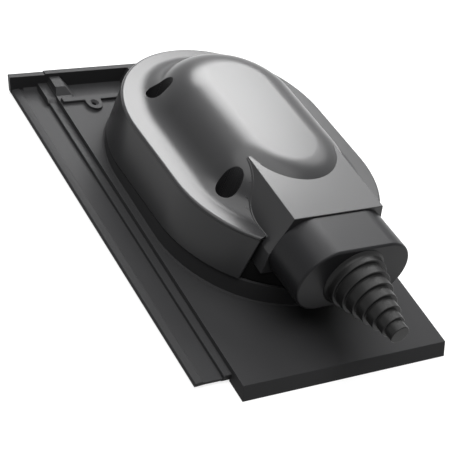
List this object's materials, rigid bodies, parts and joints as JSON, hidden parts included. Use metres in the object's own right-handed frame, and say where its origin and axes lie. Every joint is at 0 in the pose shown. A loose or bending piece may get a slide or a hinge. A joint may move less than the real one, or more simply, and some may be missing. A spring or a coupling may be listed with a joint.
{
  "type": "solar cable entry roof tile",
  "caption": "Flat interlocking roof tile with a raised collar and a domed hood whose neck ends in a stepped rubber boot for solar cables.",
  "frame": {"origin": "middle of the part's footprint on the plane that the tile's back rests on", "axes": "+X across the roof, away from the side joint; +Y up the slope, towards the head rim; +Z out of the roof"},
  "size_m": [0.304, 0.475, 0.1291],
  "materials": {
    "tile_plastic": "black satin moulded plastic with a fine grain",
    "carrier_plastic": "black matt moulded plastic",
    "hood_plastic": "graphite satin moulded plastic",
    "neck_plastic": "black satin moulded plastic",
    "boot_rubber": "black rubber with a soft sheen",
    "seal_rubber": "black foam rubber",
    "screw_steel": "plain steel"
  },
  "bodies": {
    "root": {"base_tile": "tile_plastic", "collar_seal": "seal_rubber", "hood_carrier": "carrier_plastic", "hood_cover": "hood_plastic", "entry_neck": "neck_plastic", "cable_boot": "boot_rubber", "hood_screw_front_left": "screw_steel", "hood_screw_front_right": "screw_steel", "hood_screw_rear_left": "screw_steel", "hood_screw_rear_right": "screw_steel"}
  },
  "joints": []
}
